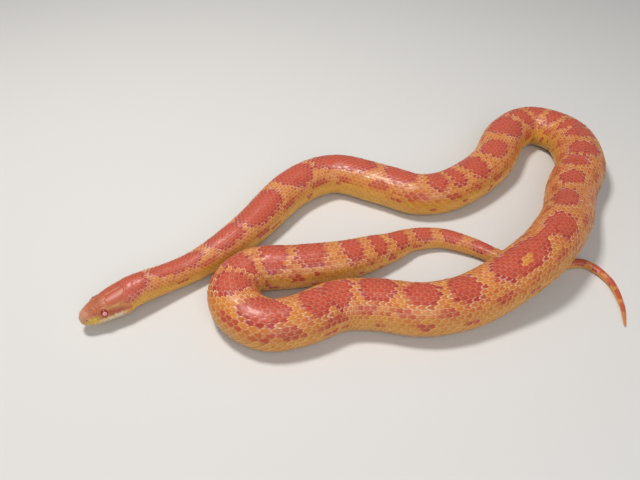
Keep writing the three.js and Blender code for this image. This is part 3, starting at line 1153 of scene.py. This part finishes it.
def feed(target, inputs):
    """Fills a node's sockets from pairs of a socket and a value or the output to link to it."""
    for socket, value in inputs:
        if isinstance(value, bpy.types.NodeSocket):
            target.id_data.links.new(value, target.inputs[socket])
        else:
            target.inputs[socket].default_value = value


def node(tree, kind, inputs=(), **settings):
    new = tree.nodes.new(kind)
    for key, value in settings.items():
        setattr(new, key, value)
    feed(new, inputs)
    return new


def mix(tree, factor, first, second):
    inputs = ((0, factor), (6, first), (7, second))
    return node(tree, "ShaderNodeMix", inputs, data_type="RGBA").outputs[2]


def times(tree, first, second):
    return node(tree, "ShaderNodeMath", ((0, first), (1, second)), operation="MULTIPLY").outputs[0]


def tint(tree, colour, over, mask, strength):
    """Lays a second colour over the first where the mask asks for it, no more than the strength."""
    return mix(tree, times(tree, mask, strength), colour, over)


def between(tree, value, low, high):
    """Runs softly from 0 at low to 1 at high."""
    inputs = (("Value", value), ("From Min", low), ("From Max", high))
    return node(tree, "ShaderNodeMapRange", inputs, interpolation_type="SMOOTHSTEP").outputs["Result"]


def noise(tree, scale, detail=3.0):
    where = node(tree, "ShaderNodeTexCoord").outputs["Object"]
    inputs = (("Vector", where), ("Scale", scale), ("Detail", detail))
    return node(tree, "ShaderNodeTexNoise", inputs).outputs["Fac"]


# %% Shared group: the snake's colours
GROUND = srgb(214, 130, 58)
GROUND_DEEP = srgb(190, 88, 40)
FLANK = srgb(210, 142, 60)
FLANK_YELLOW = srgb(222, 164, 44)
LOW_FLANK = srgb(208, 154, 100)
LOW_YELLOW = srgb(218, 172, 66)
BELLY = srgb(226, 200, 168)
SADDLE = srgb(194, 78, 52)
SADDLE_EDGE = srgb(172, 56, 42)
BLOTCH = srgb(192, 84, 50)
EDGE_PALE = srgb(244, 212, 190)
# Pale rims for ground and saddle scales, each the scale's own pale edge with a painted glint
WARM_RIM_AND_GLINT = srgb(244, 194, 132)
RED_RIM_AND_GLINT = srgb(224, 140, 110)
PATCHY_SCALE = 110
PATCHY = (0.35, 0.7)
PATCHY_STRENGTH = 0.5
# Shares of the way from crest to belly over which one ground colour gives way to the next
FLANK_BAND = (0.32, 0.5)
LOW_BAND = (0.54, 0.66)
BELLY_BAND = (0.66, 0.76)
# Steps of the rim of a scale, and of the side and the heart of a saddle
RIM_BAND = (0.4, 1.0)
SADDLE_BAND = (0.42, 0.5)
SADDLE_HEART = (0.52, 0.8)
# How far a scale's own tone and its rim, with its painted glint, change the ground, saddles and blotches
TONE_STRENGTHS = (0.25, 0.45, 0.5)
RIM_AND_GLINT_STRENGTHS = (0.7, 0.65, 0.5)
COLOUR_INPUTS = ("Saddle", "Edge", "Blotch", "Round", "Rim and glint", "Tone", "Yellow")


def colour_group():
    group = bpy.data.node_groups.new("Snake colours", "ShaderNodeTree")
    for name in COLOUR_INPUTS:
        group.interface.new_socket(name, in_out="INPUT", socket_type="NodeSocketFloat")
    group.interface.new_socket("Color", in_out="OUTPUT", socket_type="NodeSocketColor")
    source = group.nodes.new("NodeGroupInput").outputs
    saddle, edge, blotch, turn, rim, tone, yellow = (source[name] for name in COLOUR_INPUTS)
    # The rim lays each scale's pale edge with a painted glint on it
    rim = between(group, rim, *RIM_BAND)
    back = mix(group, tone, GROUND, GROUND_DEEP)
    patchy = between(group, noise(group, PATCHY_SCALE), *PATCHY)
    back = tint(group, back, FLANK, patchy, PATCHY_STRENGTH)
    flank = mix(group, yellow, FLANK, FLANK_YELLOW)
    low = mix(group, yellow, LOW_FLANK, LOW_YELLOW)
    ground = mix(group, between(group, turn, *FLANK_BAND), back, flank)
    ground = mix(group, between(group, turn, *LOW_BAND), ground, low)
    ground = tint(group, ground, GROUND_DEEP, tone, TONE_STRENGTHS[0])
    ground = mix(group, between(group, turn, *BELLY_BAND), ground, BELLY)
    ground = tint(group, ground, WARM_RIM_AND_GLINT, rim, RIM_AND_GLINT_STRENGTHS[0])
    red = mix(group, between(group, saddle, *SADDLE_HEART), SADDLE_EDGE, SADDLE)
    red = tint(group, red, SADDLE_EDGE, tone, TONE_STRENGTHS[1])
    red = tint(group, red, RED_RIM_AND_GLINT, rim, RIM_AND_GLINT_STRENGTHS[1])
    spot = tint(group, BLOTCH, SADDLE_EDGE, tone, TONE_STRENGTHS[2])
    spot = tint(group, spot, WARM_RIM_AND_GLINT, rim, RIM_AND_GLINT_STRENGTHS[2])
    colour = mix(group, blotch, ground, spot)
    colour = mix(group, between(group, saddle, *SADDLE_BAND), colour, red)
    colour = tint(group, colour, EDGE_PALE, edge, rim)
    node(group, "NodeGroupOutput", (("Color", colour),))
    return group


snake_colours = colour_group()
print("colour group nodes", len(snake_colours.nodes))


# %% Skin, scale, scute and eye materials
GRAIN_DETAIL = 2
# Roughness from and to, then the scale, strength and depth of the grain
SCALE_FINISH = (0.28, 0.5, 900, 0.12, 0.0002)
SKIN_FINISH = (0.6, 0.42, 1400, 0.1, 0.0001)
# A little light goes through horn and skin and comes back warm
FLESH = (
    ("Subsurface Weight", 0.06), ("Subsurface Radius", (0.002, 0.0008, 0.0005)),
    ("Subsurface Scale", 1.0),
)


def new_material(name):
    material = bpy.data.materials.new(name)
    material.use_nodes = True
    tree = material.node_tree
    tree.nodes.clear()
    shader = node(tree, "ShaderNodeBsdfPrincipled")
    node(tree, "ShaderNodeOutputMaterial", (("Surface", shader.outputs["BSDF"]),))
    return material, tree, shader


def channels(tree, name):
    """The numbers that a mesh keeps under a name, one output for each."""
    found = node(tree, "ShaderNodeAttribute", attribute_name=name)
    return node(tree, "ShaderNodeSeparateColor", (("Color", found.outputs["Color"]),)).outputs


def horn(tree, finish, gloss_by):
    """Roughness that follows a mask between two values, a fine grain, and light through the horn."""
    low, high, scale, strength, depth = finish
    inputs = (("Value", gloss_by), ("To Min", low), ("To Max", high))
    rough = node(tree, "ShaderNodeMapRange", inputs).outputs["Result"]
    grain = noise(tree, scale, GRAIN_DETAIL)
    inputs = (("Height", grain), ("Strength", strength), ("Distance", depth))
    normal = node(tree, "ShaderNodeBump", inputs).outputs["Normal"]
    return (("Roughness", rough), ("Normal", normal), *FLESH)


def marked_colour(tree):
    """The snake's colours as this piece's own numbers ask for them."""
    yellow = node(tree, "ShaderNodeAttribute", attribute_name="spot").outputs["Alpha"]
    numbers = (*channels(tree, "marks"), *channels(tree, "spot"), yellow)
    group = node(tree, "ShaderNodeGroup", zip(COLOUR_INPUTS, numbers), node_tree=snake_colours)
    return group.outputs["Color"]


def scale_material():
    material, tree, shader = new_material("Scales")
    tone = channels(tree, "spot")[2]
    feed(shader, (("Base Color", marked_colour(tree)), *horn(tree, SCALE_FINISH, tone)))
    return material


HEAD_RED = srgb(190, 108, 68)
HEAD_DEEP = srgb(170, 84, 50)
SNOUT_PINK = srgb(214, 158, 126)
LIP_CREAM = srgb(232, 210, 170)
LORE_YELLOW = srgb(224, 188, 78)
SUTURE = srgb(164, 84, 60)
# Painted shade for the slit of the mouth and the nostril pits
MOUTH_NOSTRIL_SHADE = srgb(96, 44, 36)
BARE_SKIN = srgb(228, 166, 126)
CROWN_SCALE = 230
CROWN_PATCHY = (0.3, 0.7)
CAP_BAND = (0.42, 0.6)
# How far each of these colours goes on the head and between the scales
CAP_STRENGTH = 0.45
SNOUT_STRENGTH = 0.8
STRIPE_STRENGTH = 0.5
SUTURE_STRENGTH = 0.45
SHADE_STRENGTH = 0.8
BARE_STRENGTH = 0.25


def head_colour(tree, lines, mark):
    """Salmon crown, pink snout, yellow before the eye, cream lips, and darker lines between plates."""
    lip, lore, snout = channels(tree, "face")
    patchy = between(tree, noise(tree, CROWN_SCALE), *CROWN_PATCHY)
    colour = mix(tree, patchy, HEAD_RED, HEAD_DEEP)
    colour = tint(tree, colour, SADDLE, between(tree, mark[0], *CAP_BAND), CAP_STRENGTH)
    colour = tint(tree, colour, SNOUT_PINK, snout, SNOUT_STRENGTH)
    colour = mix(tree, lip, colour, LIP_CREAM)
    colour = mix(tree, lore, colour, LORE_YELLOW)
    colour = tint(tree, colour, BLOTCH, mark[2], STRIPE_STRENGTH)
    return tint(tree, colour, SUTURE, lines[0], SUTURE_STRENGTH)


def skin_material():
    material, tree, shader = new_material("Skin")
    lines = channels(tree, "lines")
    bare = mix(tree, BARE_STRENGTH, marked_colour(tree), BARE_SKIN)
    colour = mix(tree, lines[2], bare, head_colour(tree, lines, channels(tree, "marks")))
    # Painted shade in the mouth's slit and the nostrils
    colour = tint(tree, colour, MOUTH_NOSTRIL_SHADE, lines[1], SHADE_STRENGTH)
    feed(shader, (("Base Color", colour), *horn(tree, SKIN_FINISH, lines[2])))
    return material


SCUTE_CREAM = srgb(236, 214, 186)
SCUTE_ORANGE = srgb(226, 176, 128)
SCUTE_SCALE = 120
SCUTE_ROUGHNESS = 0.3
# Colours of the eye by the distance from its middle, where 1 is a quarter turn away
EYE_COLOURS = (
    (0.0, (240, 150, 150)), (0.36, (236, 140, 144)), (0.42, (120, 20, 30)),
    (0.6, (168, 44, 44)), (0.8, (128, 26, 32)), (1.0, (110, 24, 30)),
)
# A wet film over the eye
EYE_GLOSS = (("Roughness", 0.08), ("Coat Weight", 1.0), ("Coat Roughness", 0.02))


def belly_material():
    material, tree, shader = new_material("Belly scutes")
    colour = mix(tree, noise(tree, SCUTE_SCALE), SCUTE_CREAM, SCUTE_ORANGE)
    feed(shader, (("Base Color", colour), ("Roughness", SCUTE_ROUGHNESS)))
    return material


def eye_material():
    material, tree, shader = new_material("Eye")
    ramp = node(tree, "ShaderNodeValToRGB", (("Fac", channels(tree, "gaze")[0]),))
    stops = ramp.color_ramp.elements
    for position, _ in EYE_COLOURS[1:-1]:
        stops.new(position)
    for stop, (_, colour) in zip(stops, EYE_COLOURS):
        stop.color = srgb(*colour)
    feed(shader, (("Base Color", ramp.outputs["Color"]), *EYE_GLOSS))
    return material


def dress():
    scales, scutes, eye = scale_material(), belly_material(), eye_material()
    skin.data.materials.append(skin_material())
    for piece in coat:
        piece.data.materials.append(scales)
    for piece in (belly, *under_tail):
        piece.data.materials.append(scutes)
    for piece in eyes.values():
        piece.data.materials.append(eye)


dress()

# %% [markdown]
# ## Every piece takes its place
#
# Nothing on this model moves, so every piece rides on the one body. The skin stands for all the
# lengths of flesh, and each eye for its own ball.

# %% Ride and replace
flesh = [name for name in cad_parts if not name.startswith("eye")]
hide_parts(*flesh)
for name, piece in eyes.items():
    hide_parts(name)
for piece in (skin, *coat, belly, *under_tail, *eyes.values()):
    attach(piece, "root")

# %% [markdown]
# ## Floor and light
#
# A plain pale floor and two lamps, as in a studio. A small lamp high up, a little behind the snake,
# gives its scales the glints of the photo, and a large soft one in front lights the flanks.

# %% Stage
FLOOR_HALF = 4
FLOOR_LOOK = (("Base Color", srgb(218, 216, 212)), ("Roughness", 0.8))
# Place and size in metres, power in watts, and colour
LAMPS = {
    "key": ((-0.3, 0.1, 0.9), 0.2, 6.4, (1, 0.97, 0.93)),
    "fill": ((0.2, -0.9, 0.7), 0.8, 4.6, (0.97, 0.98, 1)),
}
SKY = (("Color", (0.9, 0.93, 1, 1)), ("Strength", 0.27))


def add_floor():
    bm = bmesh.new()
    bmesh.ops.create_grid(bm, x_segments=1, y_segments=1, size=FLOOR_HALF)
    floor = new_object("floor", write_mesh(bm, "floor"))
    material, _, shader = new_material("Floor")
    feed(shader, FLOOR_LOOK)
    floor.data.materials.append(material)


def add_lamp(name, spot, size, power, colour):
    """A square lamp that looks at the middle of the floor."""
    data = bpy.data.lights.new(name, "AREA")
    data.size = size
    data.energy = power
    data.color = colour
    lamp = new_object(name, data)
    lamp.location = spot
    lamp.rotation_euler = (-Vector(spot)).to_track_quat("-Z", "Y").to_euler()


def add_light():
    for name, lamp in LAMPS.items():
        add_lamp(name, *lamp)
    world = bpy.data.worlds.new("studio")
    world.use_nodes = True
    feed(world.node_tree.nodes["Background"], SKY)
    bpy.context.scene.world = world
    bpy.context.scene.view_settings.view_transform = "Standard"


add_floor()
add_light()
